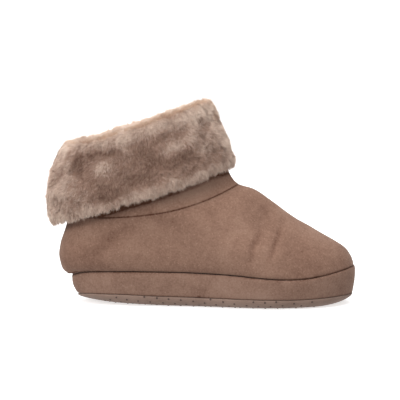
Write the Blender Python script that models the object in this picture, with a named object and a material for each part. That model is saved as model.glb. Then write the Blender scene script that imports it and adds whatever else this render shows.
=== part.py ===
"""Ankle slipper for the right foot, with a turned-down plush cuff.

A suede upper and shaft stand on a suede-covered foam platform with a gripper-cloth outsole.
Metres. +X points to the toe, +Y to the inner side of the foot and +Z up. The origin is on the
floor, under the middle of the platform's length.
"""

import math

import bmesh
import bpy
import numpy as np

# Platform and outsole, seen from above
SOLE_LENGTH = 0.2565
HEEL_RADIUS = 0.0315
HEEL_WIDTH = 0.069
WAIST_WIDTH = 0.076
BALL_WIDTH = 0.097
TOE_WIDTH = 0.069
TOE_RADIUS = 0.036
TOE_SWING = 0.006

# Platform and outsole, seen from the side
PLATFORM_HEIGHT = 0.0315
OUTSOLE_SEAM_HEIGHT = 0.0092
OUTSOLE_THICKNESS = 0.0022
OUTSOLE_ROLL = 0.010
SIDE_TAPER = 0.0022
SIDE_SWELL = 0.0008
EDGE_ROUND = 0.0012

# Upper and shaft
UPPER_WALL = 0.0030
SHAFT_WALL = 0.0026
UPPER_INSET = 0.0012
HEEL_BULGE = 0.0124
COLLAR_RISE = 0.0540
VAMP_RUN = 0.1040
INSTEP_RISE = 0.0735
SHAFT_BACK_RISE = 0.0570
SHAFT_FRONT_RISE = 0.0700
SHAFT_BACK_LEAN = 0.0026
SHAFT_FRONT_LEAN = 0.0296
SEAM_SAG = 2.9

# Insole
INSOLE_THICKNESS = 0.0060
INSOLE_CLEARANCE = 0.0010
INSOLE_CROWN = 0.0012

# Cuff
CUFF_DEPTH = 0.0605
CUFF_PILE = 0.0100
CUFF_FLARE = 0.0078
LINING_LEVEL = 11.15
LINING_PILE = 0.0075
LOCK_RELIEF = 0.0009
LOCK_DROP = 0.0036

# Neighbouring pieces lie this far apart
GAP = 0.0003

# The platform's outline: where along its length each named width is measured
OUTLINE = (
    # share of length, width
    (0.15, HEEL_WIDTH),
    (0.42, WAIST_WIDTH),
    (0.73, BALL_WIDTH),
    (0.92, TOE_WIDTH),
)

# The outline's middle line, which swings to the inner side at the toe
SWING = (
    # share of length, share of TOE_SWING
    (0.00, 0.00),
    (0.20, 0.00),
    (0.42, -0.35),
    (0.70, -0.15),
    (0.90, 0.55),
    (1.00, 1.00),
)

# The platform's top edge, its seam with the outsole, and how far the outsole rolls under
PROFILE = (
    # share of length, top / PLATFORM_HEIGHT, seam / OUTSOLE_SEAM_HEIGHT, roll / OUTSOLE_ROLL
    (0.00, 0.790, 0.66, 1.70),
    (0.04, 0.895, 0.95, 1.55),
    (0.14, 0.980, 1.14, 1.10),
    (0.31, 1.008, 1.06, 1.00),
    (0.45, 0.996, 1.01, 1.00),
    (0.58, 0.960, 0.98, 1.00),
    (0.71, 0.876, 0.95, 1.00),
    (0.78, 0.850, 0.93, 1.00),
    (0.84, 0.872, 0.94, 1.05),
    (0.91, 0.955, 1.00, 1.15),
    (0.965, 1.040, 1.02, 1.30),
    (1.00, 1.085, 0.98, 1.40),
)

# Loops round the foot, from the platform up to the collar seam and on to the shaft's top.
# Each closes over the vamp at its front point and round the heel at its back point.
LOOPS = (
    # run / VAMP_RUN, rise / INSTEP_RISE, bulge / HEEL_BULGE, lift / COLLAR_RISE,
    # widths as shares of the outline's: heel end, heel, waist, ball, toe end,
    # how much the loop follows the platform's top, and the collar seam's sag
    ("feather", 0.000, 0.000, 0.00, 0.00, 0.98, 0.970, 0.970, 0.978, 0.98, 1.00, 0.00),
    ("welt", 0.009, 0.049, 0.57, 0.04, 1.05, 1.030, 1.015, 0.998, 0.98, 0.95, 0.02),
    ("toe_wall", 0.036, 0.128, 0.85, 0.13, 1.12, 1.080, 1.045, 0.995, 0.93, 0.86, 0.06),
    ("toe_top", 0.091, 0.224, 0.97, 0.25, 1.14, 1.100, 1.055, 0.975, 0.86, 0.75, 0.12),
    ("toe_box", 0.209, 0.335, 1.00, 0.38, 1.12, 1.095, 1.050, 0.940, 0.76, 0.62, 0.20),
    ("ball", 0.361, 0.462, 0.90, 0.51, 1.05, 1.065, 1.030, 0.890, 0.66, 0.48, 0.32),
    ("vamp", 0.534, 0.602, 0.75, 0.63, 0.96, 1.025, 1.010, 0.838, 0.58, 0.34, 0.47),
    ("instep", 0.707, 0.784, 0.59, 0.75, 0.86, 0.978, 0.990, 0.788, 0.50, 0.21, 0.65),
    ("throat", 0.861, 0.935, 0.44, 0.87, 0.77, 0.930, 0.972, 0.740, 0.42, 0.09, 0.84),
    ("collar_seam", 1.000, 1.000, 0.36, 1.00, 0.70, 0.890, 0.955, 0.698, 0.35, 0.00, 1.00),
)

# The shaft goes on from the collar seam
SHAFT_LOOPS = (
    # front rise, front lean, back rise, back lean as shares of the shaft's own,
    # the same five widths, and what is left of the collar seam's sag
    ("ankle", 0.12, 0.25, 0.16, 0.25, 0.68, 0.880, 0.945, 0.680, 0.35, 0.88),
    ("shin", 0.34, 0.45, 0.41, 0.90, 0.68, 0.870, 0.935, 0.660, 0.38, 0.66),
    ("cuff_middle", 0.66, 0.70, 0.70, 0.80, 0.68, 0.860, 0.920, 0.640, 0.42, 0.43),
    ("shaft_top", 1.00, 1.00, 1.00, -1.70, 0.68, 0.850, 0.905, 0.620, 0.45, 0.28),
)
WIDTH_SHARES = (0.00, 0.15, 0.42, 0.73, 1.00)
SEAM_LEVEL = len(LOOPS) - 1
TOP_LEVEL = SEAM_LEVEL + len(SHAFT_LOOPS)

# How the cuff changes from the heel's back to the fold at its front
CUFF_ROUND = (
    # share of the loop, pile, flare, lining and depth, each divided by its named size
    (0.00, 1.05, 1.00, 1.00, 1.150),
    (0.10, 1.00, 0.80, 1.00, 1.075),
    (0.30, 1.00, 0.55, 1.00, 1.025),
    (0.60, 0.97, 0.42, 1.00, 1.000),
    (0.82, 0.92, 0.30, 0.90, 0.985),
    (0.93, 0.84, 0.22, 0.70, 0.970),
    (1.00, 0.74, 0.18, 0.50, 0.990),
)

# The cuff's outer face, from the fold down to the hem: rows of locks that lie over each other
CUFF_ROWS = (
    # share of depth, share of flare, share of lock relief, turn of the pattern
    (0.06, 0.05, 0.40, 0.0),
    (0.20, 0.22, 1.00, 2.4),
    (0.36, 0.50, 1.00, 4.6),
    (0.52, 0.76, 1.00, 1.3),
    (0.68, 0.94, 1.00, 3.5),
    (0.83, 1.00, 1.00, 5.9),
)
LOCKS = (29, 13)
HEM_LOCKS = (36, 11)

STATIONS = 54
UPPER_LEVELS = (0, 0.4, 1, 1.6, 2.3, 3, 4, 5, 6, 7, 7.7, 8.3, 8.88)
UPPER_INNER_LEVELS = (8.9, 7.9, 6.8, 5.6, 4.4, 3.2, 2, 1)
SHAFT_LEVELS = (9.12, 10, 11, 12)
ROLL_ANGLES = (90, 62, 36, 14)
SUEDE = (0.275, 0.167, 0.122)
PLUSH = (0.360, 0.255, 0.200)
SOLE_CLOTH = (0.225, 0.150, 0.118)


def smooth(x, knots, values):
    """Cubic through values at knots, level at both ends. x may be an array."""
    knots, values = np.asarray(knots, float), np.asarray(values, float)
    x = np.clip(np.asarray(x, float), knots[0], knots[-1])
    slopes = np.gradient(values, knots, axis=0)
    slopes[0] = slopes[-1] = 0
    i = np.clip(np.searchsorted(knots, x, side="right") - 1, 0, len(knots) - 2)
    width = (knots[i + 1] - knots[i])[(...,) + (None,) * (values.ndim - 1)]
    t = (x - knots[i])[(...,) + (None,) * (values.ndim - 1)] / width
    start = (1 + 2 * t) * (1 - t) ** 2 * values[i] + width * t * (1 - t) ** 2 * slopes[i]
    end = t * t * (3 - 2 * t) * values[i + 1] + width * t * t * (t - 1) * slopes[i + 1]
    return start + end


def column(rows, index):
    return [row[index] for row in rows]


def turn_at(share):
    """0 at the heel's back and 1 at the toe's tip, so that even turns crowd at both ends."""
    return np.arccos(1 - 2 * np.asarray(share)) / math.pi


def turn_of(angle):
    return np.arccos(np.clip(np.cos(angle), -1, 1)) / math.pi


def fullness(turn):
    """Half the platform's width, divided by the half circle's at the same turn."""
    half_length = SOLE_LENGTH / 2
    values = [math.sqrt(HEEL_RADIUS * half_length)]
    values += [w / 4 / math.sqrt(share * (1 - share)) for share, w in OUTLINE]
    values.append(math.sqrt(TOE_RADIUS * half_length))
    return smooth(turn, turn_at([0.0, *column(OUTLINE, 0), 1.0]), values)


def sole_share(x):
    return np.clip(x / SOLE_LENGTH + 0.5, 0, 1)


def middle(x):
    return TOE_SWING * smooth(sole_share(x), column(SWING, 0), column(SWING, 1))


def profile(x, index):
    return smooth(sole_share(x), column(PROFILE, 0), column(PROFILE, index))


def platform_top(x):
    return PLATFORM_HEIGHT * profile(x, 1)


def outsole_seam(x):
    return OUTSOLE_SEAM_HEIGHT * profile(x, 2)


def angles(count):
    """Round the foot from the heel's back, along the outer side to the toe and back."""
    return np.arange(count) * 2 * math.pi / count


def outline(inset, count=STATIONS):
    """The platform's outline, moved inwards, as x and y."""
    def at(angle):
        x = -SOLE_LENGTH / 2 * np.cos(angle)
        return np.stack([x, middle(x) - np.sin(angle) * fullness(turn_of(angle))], -1)

    angle, step = angles(count), 1e-4
    run = at(angle + step) - at(angle - step)
    outward = np.stack([run[:, 1], -run[:, 0]], -1)
    outward /= np.linalg.norm(outward, axis=-1, keepdims=True)
    return at(angle) - outward * np.asarray(inset)[..., None]


def loop_table():
    """Every loop's back and front point, widths, and how it follows the sole and the seam."""
    back_x = -SOLE_LENGTH / 2 + UPPER_INSET
    front_x = SOLE_LENGTH / 2 - UPPER_INSET
    back_z = float(platform_top(back_x)) + GAP
    front_z = float(platform_top(front_x)) + GAP
    table = [
        (back_x - HEEL_BULGE * bulge, back_z + COLLAR_RISE * lift,
         front_x - VAMP_RUN * run, front_z + INSTEP_RISE * rise, *widths)
        for _, run, rise, bulge, lift, *widths in LOOPS
    ]
    seam = table[-1]
    table += [
        (seam[0] - SHAFT_BACK_LEAN * back_lean, seam[1] + SHAFT_BACK_RISE * back_rise,
         seam[2] - SHAFT_FRONT_LEAN * front_lean, seam[3] + SHAFT_FRONT_RISE * front_rise,
         *widths[:-1], 0.0, widths[-1])
        for _, front_rise, front_lean, back_rise, back_lean, *widths in SHAFT_LOOPS
    ]
    return np.array(table)


def surface(angle, level):
    """A point on the outside of the upper and shaft, as x, y and z."""
    angle, level = np.broadcast_arrays(np.asarray(angle, float), np.asarray(level, float))
    table = loop_table()
    row = smooth(level, range(len(table)), table)
    share, turn = (1 - np.cos(angle)) / 2, turn_of(angle)
    x = row[..., 0] + (row[..., 2] - row[..., 0]) * share
    blend = smooth(turn, turn_at(WIDTH_SHARES), np.eye(len(WIDTH_SHARES)))
    width = (row[..., 4:9] * blend).sum(-1)
    y = middle(x) - np.sin(angle) * fullness(turn) * width
    chord = row[..., 1] + (row[..., 3] - row[..., 1]) * share
    first, seam = table[0], table[SEAM_LEVEL]
    sole_z = platform_top(first[0] + (first[2] - first[0]) * share) + GAP
    over_sole = sole_z - first[1] - (first[3] - first[1]) * share
    over_seam = (seam[3] - seam[1]) * (share**SEAM_SAG - share)
    return np.stack([x, y, chord + row[..., 9] * over_sole + row[..., 10] * over_seam], -1)


def frame(angle, level):
    """The surface point, the way up along the surface, and the way out of it."""
    step = 1e-4
    angle, level = np.broadcast_arrays(np.asarray(angle, float), np.asarray(level, float))
    low, high = np.maximum(level - 0.02, 0), np.minimum(level + 0.02, TOP_LEVEL)
    up = surface(angle, high) - surface(angle, low)
    up /= np.linalg.norm(up, axis=-1, keepdims=True)
    round_foot = surface(angle + step, level) - surface(angle - step, level)
    out = np.cross(round_foot, up)
    out /= np.linalg.norm(out, axis=-1, keepdims=True)
    return surface(angle, level), up, out


def inner_wall(angle, level):
    """The upper's inner face, never lower than the platform that it stands on."""
    point, _, out = frame(angle, level)
    point = point - out * UPPER_WALL
    point[..., 2] = np.maximum(point[..., 2], platform_top(point[..., 0]) + GAP)
    return point


def feather_rim(angle):
    """The foot of the upper's inner face: level with its outer foot and one wall inside it."""
    point, _, out = frame(angle, 0.0)
    run = surface(angle + 1e-4, 0.0) - surface(angle - 1e-4, 0.0)
    inward = np.stack([-run[..., 1], run[..., 0], np.zeros_like(run[..., 0])], -1)
    inward /= np.linalg.norm(inward, axis=-1, keepdims=True)
    point = point + inward * UPPER_WALL
    point[..., 2] = platform_top(point[..., 0]) + GAP
    return point


def upper_sections():
    angle = angles(STATIONS)
    outer = [surface(angle, level) for level in UPPER_LEVELS]
    seam, up, out = frame(angle, SEAM_LEVEL)
    edge = seam - up * GAP / 2
    rim = [edge - out * EDGE_ROUND * 0.6, edge - out * UPPER_WALL]
    inner = [inner_wall(angle, level) for level in UPPER_INNER_LEVELS]
    return np.stack([*outer, *rim, *inner, feather_rim(angle)], 1)


def shaft_sections():
    angle = angles(STATIONS)
    seam, up, out = frame(angle, SEAM_LEVEL)
    edge = seam + up * GAP / 2
    outer = [edge - out * EDGE_ROUND * 0.6]
    outer += [surface(angle, level) for level in SHAFT_LEVELS]
    top, _, top_out = frame(angle, TOP_LEVEL)
    inner = []
    for level in reversed(SHAFT_LEVELS):
        point, _, away = frame(angle, level)
        inner.append(point - away * SHAFT_WALL)
    return np.stack([*outer, top, top - top_out * SHAFT_WALL, *inner, edge - out * SHAFT_WALL], 1)


class CuffCut:
    """Places points by their depth below the shaft's top edge and their distance out of it."""

    def __init__(self, count):
        self.angle = angles(count)
        self.share = (1 - np.cos(self.angle)) / 2
        self.levels = np.linspace(TOP_LEVEL, SEAM_LEVEL - 4, 90)
        line = surface(self.angle[:, None], self.levels[None, :])
        steps = np.linalg.norm(np.diff(line, axis=1), axis=-1)
        self.depths = np.concatenate([np.zeros((count, 1)), np.cumsum(steps, 1)], 1)

    def round(self, index):
        return smooth(self.share, column(CUFF_ROUND, 0), column(CUFF_ROUND, index))

    def depth_of(self, level):
        return np.array([np.interp(-level, -self.levels, row) for row in self.depths])

    def out_at(self, level):
        return frame(self.angle, level)[2]

    def at(self, depth, distance):
        depth = np.broadcast_to(depth, self.angle.shape)
        level = np.array([
            np.interp(d, row, self.levels) for d, row in zip(np.maximum(depth, 0), self.depths)
        ])
        point, up, out = frame(self.angle, level)
        above = np.maximum(-depth, 0)[:, None]
        return point + up * above + out * np.broadcast_to(distance, depth.shape)[:, None]


def beside_shaft(level, distance, above=0.0):
    """Points beside the shaft's own flat facets, two for each of its stations."""
    rows = (*SHAFT_LEVELS, TOP_LEVEL)
    sides = []
    for row in rows:
        point, up, out = frame(angles(STATIONS), row)
        sides.append(point + out * distance + up * above)
    number = min(max(int(np.searchsorted(rows, level)), 1), len(rows) - 1)
    share = (level - rows[number - 1]) / (rows[number] - rows[number - 1])
    corners = sides[number - 1] * (1 - share) + sides[number] * share
    halfway = (corners + np.roll(corners, -1, 0)) / 2
    return np.stack([corners, halfway], 1).reshape(-1, 3)


def locks(angle, counts, turn):
    """Uneven locks round the foot, from -1 between two of them to 1 on top of one."""
    many, few = counts
    return 0.65 * np.sin(many * angle + turn) + 0.35 * np.sin(few * angle - 1.7 * turn)


def cuff_sections():
    """An upside-down U over the shaft's top: lining inside, pile outside, locks at its hem."""
    count = 2 * STATIONS
    cut = CuffCut(count)
    pile, flare = CUFF_PILE * cut.round(1), CUFF_FLARE * cut.round(2)
    lining, depth = LINING_PILE * cut.round(3), CUFF_DEPTH * cut.round(4)
    slot_in = -SHAFT_WALL - GAP
    inside, outside = slot_in - lining, GAP + pile
    lining_foot = cut.depth_of(LINING_LEVEL)
    hem = LOCK_DROP * locks(cut.angle, HEM_LOCKS, 0.6)

    points = [
        cut.at(depth * 0.98 + hem * 0.5, GAP + flare * 0.80),
        beside_shaft(11, GAP) + cut.out_at(11) * (flare * 0.30)[:, None],
        beside_shaft(12, GAP),
        beside_shaft(TOP_LEVEL, GAP, GAP),
        beside_shaft(TOP_LEVEL, slot_in, GAP),
        beside_shaft(12, slot_in),
        beside_shaft(LINING_LEVEL, slot_in),
        cut.at(lining_foot, slot_in - lining * 0.7),
        cut.at(lining_foot * 0.88, inside),
        cut.at(lining_foot * 0.4, inside),
    ]
    middle_line, half = (outside + inside) / 2, (outside - inside) / 2
    for degrees in (180, 140, 90, 40):
        fold = math.radians(degrees)
        height = (GAP + pile) * math.sin(fold)
        points.append(cut.at(-height, middle_line + half * math.cos(fold)))
    for share, out, height, turn in CUFF_ROWS:
        relief = LOCK_RELIEF * height * locks(cut.angle, LOCKS, turn)
        points.append(cut.at(depth * share, outside + flare * out + relief))
    points.append(cut.at(depth * 0.95 + hem * 0.7, outside * 0.84 + flare * 0.92))
    points.append(cut.at(depth + hem, outside * 0.45 + flare * 0.84))
    return np.stack(points, 1)


def roll_rings(inner):
    """The outsole's rings from the floor up to the seam, inner of them inside its outer face."""
    rings = []
    for degrees in ROLL_ANGLES:
        roll = math.radians(degrees)
        flat = outline(SIDE_TAPER)
        reach = OUTSOLE_ROLL * profile(flat[:, 0], 3)
        seam = outsole_seam(flat[:, 0])
        xy = outline(SIDE_TAPER + inner + (reach - inner) * (1 - math.cos(roll)))
        z = inner + (seam - inner) * (1 - math.sin(roll))
        rings.append(np.column_stack([xy, z]))
    return rings


def ring(inset, height):
    """A level or waving ring: height is a function of x or a number."""
    xy = outline(inset)
    return np.column_stack([xy, height(xy[:, 0]) if callable(height) else height])


def outsole_rings():
    outer = roll_rings(0.0)
    inner = roll_rings(OUTSOLE_THICKNESS)
    rim = [ring(SIDE_TAPER, outsole_seam), ring(SIDE_TAPER + OUTSOLE_THICKNESS, outsole_seam)]
    return [*outer, *rim, *reversed(inner)]


def midsole_rings():
    """The platform: its foot sits in the outsole, its side swells a little."""
    nest = OUTSOLE_THICKNESS + GAP

    def between(share):
        """A height between the outsole's seam and the platform's top edge."""
        return lambda x: outsole_seam(x) + GAP + (platform_top(x) - outsole_seam(x) - GAP) * share

    rings = roll_rings(nest)
    rings.append(ring(SIDE_TAPER + nest, between(0.0)))
    rings.append(ring(SIDE_TAPER + EDGE_ROUND * 0.5, between(0.0)))
    for share in (0.06, 0.35, 0.65, 0.93):
        swell = SIDE_SWELL * 4 * share * (1 - share)
        rings.append(ring(SIDE_TAPER * (1 - share) - swell, between(share)))
    rings.append(ring(EDGE_ROUND * 0.5, between(1.0)))
    return rings


def insole_rings():
    """A padded footbed inside the upper's wall, where that is narrowest beside it."""
    angle = angles(STATIONS)
    foot = feather_rim(angle)
    beside = [foot]
    for level in np.linspace(0.3, 3.0, 10):
        wall = inner_wall(angle, level)
        low = wall[:, 2] - foot[:, 2] <= INSOLE_THICKNESS + INSOLE_CROWN + INSOLE_CLEARANCE
        beside.append(np.where(low[:, None], wall, foot))
    beside = np.array(beside)
    from_middle = np.hypot(beside[..., 0] / 3, beside[..., 1] - middle(beside[..., 0]))
    narrow = beside[from_middle.argmin(0), np.arange(STATIONS)]

    def inside(inset, height):
        run = np.roll(narrow, -1, 0) - np.roll(narrow, 1, 0)
        inward = np.column_stack([-run[:, 1], run[:, 0]])
        inward /= np.linalg.norm(inward, axis=-1, keepdims=True)
        xy = narrow[:, :2] + inward * inset
        return np.column_stack([xy, platform_top(xy[:, 0]) + GAP + height])

    edge = INSOLE_CLEARANCE
    return [
        inside(edge + INSOLE_THICKNESS * 0.15, 0.0),
        inside(edge, INSOLE_THICKNESS * 0.25),
        inside(edge, INSOLE_THICKNESS * 0.70),
        inside(edge + INSOLE_THICKNESS * 0.30, INSOLE_THICKNESS),
        inside(edge + INSOLE_THICKNESS * 1.60, INSOLE_THICKNESS + INSOLE_CROWN),
    ]


def new_object(name, mesh_builder, material, collection):
    mesh = bpy.data.meshes.new(name)
    bm = bmesh.new()
    mesh_builder(bm)
    bmesh.ops.recalc_face_normals(bm, faces=bm.faces)
    bm.to_mesh(mesh)
    bm.free()
    mesh.shade_smooth()
    mesh.set_sharp_from_angle(angle=math.radians(50))
    mesh.materials.append(material)
    obj = bpy.data.objects.new(name, mesh)
    collection.objects.link(obj)
    return obj


def tube_loft(sections):
    """Closed cross-sections joined round the foot into one ring-shaped solid."""
    def build(bm):
        grid = [[bm.verts.new(point) for point in section] for section in sections]
        for i, section in enumerate(grid):
            after = grid[(i + 1) % len(grid)]
            for j in range(len(section)):
                k = (j + 1) % len(section)
                bm.faces.new((section[j], after[j], after[k], section[k]))
    return build


def slab_loft(rings):
    """Rings joined into a slab, both ends closed by strips across the foot."""
    def build(bm):
        grid = [[bm.verts.new(point) for point in points] for points in rings]
        for lower, higher in zip(grid, grid[1:]):
            for i in range(len(lower)):
                k = (i + 1) % len(lower)
                bm.faces.new((lower[i], lower[k], higher[k], higher[i]))
        for end in (grid[0], grid[-1]):
            close_across(bm, end)
    return build


def close_across(bm, loop):
    """Strips from the loop's outer side to its inner side."""
    last, toe = len(loop), len(loop) // 2
    bm.faces.new((loop[0], loop[1], loop[-1]))
    for i in range(1, toe - 1):
        bm.faces.new((loop[i], loop[i + 1], loop[last - i - 1], loop[last - i]))
    bm.faces.new((loop[toe - 1], loop[toe], loop[toe + 1]))


def new_material(name, colour, roughness):
    material = bpy.data.materials.new(name)
    material.use_nodes = True
    shader = material.node_tree.nodes["Principled BSDF"]
    shader.inputs["Base Color"].default_value = (*colour, 1)
    shader.inputs["Roughness"].default_value = roughness
    shader.inputs["Metallic"].default_value = 0.0
    return material


def main():
    for obj in list(bpy.data.objects):
        bpy.data.objects.remove(obj)
    collection = bpy.data.collections.new("ankle_slipper")
    bpy.context.scene.collection.children.link(collection)
    suede = new_material("suede", SUEDE, 0.9)
    wrap_suede = new_material("wrap_suede", SUEDE, 0.9)
    plush = new_material("plush", PLUSH, 0.95)
    sole_cloth = new_material("sole_cloth", SOLE_CLOTH, 0.85)
    new_object("outsole", slab_loft(outsole_rings()), sole_cloth, collection)
    new_object("midsole", slab_loft(midsole_rings()), wrap_suede, collection)
    new_object("insole", slab_loft(insole_rings()), plush, collection)
    new_object("upper", tube_loft(upper_sections()), suede, collection)
    new_object("shaft", tube_loft(shaft_sections()), suede, collection)
    new_object("cuff", tube_loft(cuff_sections()), plush, collection)


main()
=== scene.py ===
import math
from functools import partial

import bmesh
import bpy
import numpy as np
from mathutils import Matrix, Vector


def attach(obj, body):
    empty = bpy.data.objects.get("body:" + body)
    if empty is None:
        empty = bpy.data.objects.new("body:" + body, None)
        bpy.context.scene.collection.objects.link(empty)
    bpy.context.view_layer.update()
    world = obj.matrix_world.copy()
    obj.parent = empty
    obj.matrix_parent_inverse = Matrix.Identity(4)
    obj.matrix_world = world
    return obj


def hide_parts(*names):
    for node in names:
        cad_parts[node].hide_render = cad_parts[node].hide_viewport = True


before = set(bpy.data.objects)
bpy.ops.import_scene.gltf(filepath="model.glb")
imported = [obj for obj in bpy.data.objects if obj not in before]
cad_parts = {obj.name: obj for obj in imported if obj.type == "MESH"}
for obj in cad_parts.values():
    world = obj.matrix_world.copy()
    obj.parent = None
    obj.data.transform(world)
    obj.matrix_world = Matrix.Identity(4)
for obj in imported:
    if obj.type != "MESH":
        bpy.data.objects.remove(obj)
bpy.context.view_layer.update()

# The shoe's own sizes in metres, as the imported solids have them. +X points to the toe, +Y to the
# inner side of the foot, and the origin is on the floor under the middle of the platform.
SOLE_LENGTH = 0.2565
HEEL_RADIUS = 0.0315
HEEL_WIDTH = 0.069
WAIST_WIDTH = 0.076
BALL_WIDTH = 0.097
TOE_WIDTH = 0.069
TOE_RADIUS = 0.036
TOE_SWING = 0.006
PLATFORM_HEIGHT = 0.0315
OUTSOLE_SEAM_HEIGHT = 0.0092
OUTSOLE_THICKNESS = 0.0022
OUTSOLE_ROLL = 0.01
SIDE_TAPER = 0.0022
SIDE_SWELL = 0.0008
UPPER_WALL = 0.003
SHAFT_WALL = 0.0026
UPPER_INSET = 0.0012
HEEL_BULGE = 0.0124
COLLAR_RISE = 0.054
VAMP_RUN = 0.104
INSTEP_RISE = 0.0735
SHAFT_BACK_RISE = 0.057
SHAFT_FRONT_RISE = 0.07
SHAFT_BACK_LEAN = 0.0026
SHAFT_FRONT_LEAN = 0.0296
SEAM_SAG = 2.9
INSOLE_THICKNESS = 0.006
INSOLE_CLEARANCE = 0.001
INSOLE_CROWN = 0.0012
CUFF_DEPTH = 0.0605
CUFF_PILE = 0.01
CUFF_FLARE = 0.0078
LINING_LEVEL = 11.15
LINING_PILE = 0.0075
GAP = 0.0003

OUTLINE = (
    # share of length, width
    (0.15, HEEL_WIDTH), (0.42, WAIST_WIDTH), (0.73, BALL_WIDTH), (0.92, TOE_WIDTH),
)
SWING = (
    # share of length, share of TOE_SWING
    (0.0, 0.0), (0.2, 0.0), (0.42, -0.35), (0.7, -0.15), (0.9, 0.55), (1.0, 1.0),
)
PROFILE = (
    # share of length, top / PLATFORM_HEIGHT, seam / OUTSOLE_SEAM_HEIGHT, roll / OUTSOLE_ROLL
    (0.00, 0.790, 0.66, 1.70),
    (0.04, 0.895, 0.95, 1.55),
    (0.14, 0.980, 1.14, 1.10),
    (0.31, 1.008, 1.06, 1.00),
    (0.45, 0.996, 1.01, 1.00),
    (0.58, 0.960, 0.98, 1.00),
    (0.71, 0.876, 0.95, 1.00),
    (0.78, 0.850, 0.93, 1.00),
    (0.84, 0.872, 0.94, 1.05),
    (0.91, 0.955, 1.00, 1.15),
    (0.965, 1.040, 1.02, 1.30),
    (1.00, 1.085, 0.98, 1.40),
)
LOOPS = (
    # run / VAMP_RUN, rise / INSTEP_RISE, bulge / HEEL_BULGE, lift / COLLAR_RISE,
    # five widths from the heel end to the toe end, how much the loop follows the platform's top,
    # and the collar seam's sag
    (0.000, 0.000, 0.00, 0.00, 0.98, 0.970, 0.970, 0.978, 0.98, 1.00, 0.00),
    (0.009, 0.049, 0.57, 0.04, 1.05, 1.030, 1.015, 0.998, 0.98, 0.95, 0.02),
    (0.036, 0.128, 0.85, 0.13, 1.12, 1.080, 1.045, 0.995, 0.93, 0.86, 0.06),
    (0.091, 0.224, 0.97, 0.25, 1.14, 1.100, 1.055, 0.975, 0.86, 0.75, 0.12),
    (0.209, 0.335, 1.00, 0.38, 1.12, 1.095, 1.050, 0.940, 0.76, 0.62, 0.20),
    (0.361, 0.462, 0.90, 0.51, 1.05, 1.065, 1.030, 0.890, 0.66, 0.48, 0.32),
    (0.534, 0.602, 0.75, 0.63, 0.96, 1.025, 1.010, 0.838, 0.58, 0.34, 0.47),
    (0.707, 0.784, 0.59, 0.75, 0.86, 0.978, 0.990, 0.788, 0.50, 0.21, 0.65),
    (0.861, 0.935, 0.44, 0.87, 0.77, 0.930, 0.972, 0.740, 0.42, 0.09, 0.84),
    (1.000, 1.000, 0.36, 1.00, 0.70, 0.890, 0.955, 0.698, 0.35, 0.00, 1.00),
)
SHAFT_LOOPS = (
    # front rise, front lean, back rise, back lean as shares of the shaft's own, five widths, sag
    (0.12, 0.25, 0.16, 0.25, 0.68, 0.880, 0.945, 0.680, 0.35, 0.88),
    (0.34, 0.45, 0.41, 0.90, 0.68, 0.870, 0.935, 0.660, 0.38, 0.66),
    (0.66, 0.70, 0.70, 0.80, 0.68, 0.860, 0.920, 0.640, 0.42, 0.43),
    (1.00, 1.00, 1.00, -1.70, 0.68, 0.850, 0.905, 0.620, 0.45, 0.28),
)
WIDTH_SHARES = (0.00, 0.15, 0.42, 0.73, 1.00)
SEAM_LEVEL = len(LOOPS) - 1
TOP_LEVEL = SEAM_LEVEL + len(SHAFT_LOOPS)
CUFF_ROUND = (
    # share of the loop, pile, flare, lining and depth, each divided by its named size
    (0.00, 1.05, 1.00, 1.00, 1.150),
    (0.10, 1.00, 0.80, 1.00, 1.075),
    (0.30, 1.00, 0.55, 1.00, 1.025),
    (0.60, 0.97, 0.42, 1.00, 1.000),
    (0.82, 0.92, 0.30, 0.90, 0.985),
    (0.93, 0.84, 0.22, 0.70, 0.970),
    (1.00, 0.74, 0.18, 0.50, 0.990),
)
CUFF_ROWS = (
    # share of depth, share of the outer face's distance, share of flare
    (0.06, 1.00, 0.05), (0.20, 1.00, 0.22), (0.36, 1.00, 0.50), (0.52, 1.00, 0.76),
    (0.68, 1.00, 0.94), (0.83, 1.00, 1.00), (0.90, 0.90, 0.95), (0.95, 0.55, 0.88),
)

# Looks, in the shoe's own sizes. Side -1 is the outer side of the foot and +1 the inner side.
PILE_LENGTH = 0.005
PILE_WIDTH = 0.00027
PILE_INSET = 0.0027
FOLD_INSET = 0.0044
FRINGE_LENGTH = 0.006
SHORT_PILE_LENGTH = 0.0024
DARKEST_PILE = -0.55
# The pale rim along the fold is partly painted light on the top edge.
PALE_RIM_DEPTH = 0.014
PALE_HEM_HEIGHT = 0.008
# Painted light on the pile at the heel's back face and along the front edge.
PAINTED_LIGHT_HEEL_X = -0.1255
PAINTED_LIGHT_FRONT_X = 0.07475
PAINTED_LIGHT_FRONT_LEAN = 0.47
HEM_RISE = 0.0022
HEM_SHADOW = 2.5
HEM_SHADOW_DROP = 0.0032
HEM_SHADOW_FADE = 0.0017
# Painted seam shade: how wide it is, and how far a row turns in to be painted darkest.
SEAM_HALF_WIDTH = 0.0008
SEAM_TURN = 0.001
CREASE_FADE = 0.004
CREASE_BANK = 0.35
CREASE_BANK_SPREAD = 2.3
LINING_GAP = 0.0002
LINING_PLUSH = 0.0022
HEEL_TUCK = 0.0056
HEEL_TUCK_TOP = 0.024
DOT_HEIGHT = 0.00045
DOT_RADIUS = 0.00105
DOT_PITCH = 0.0108
DOT_ROW_PITCH = 0.005
DOT_SHIFT = 0.0056
DOT_ROWS = range(-10, 11)
DOT_NUMBERS = range(-12, 12)
DOT_SEAM_MARGIN = 0.0006
DOT_ROLL_BACK = -0.102
DOT_ROLL_FRONT = 0.094
CLOTH_RAISED_BELOW = 0.006

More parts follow.
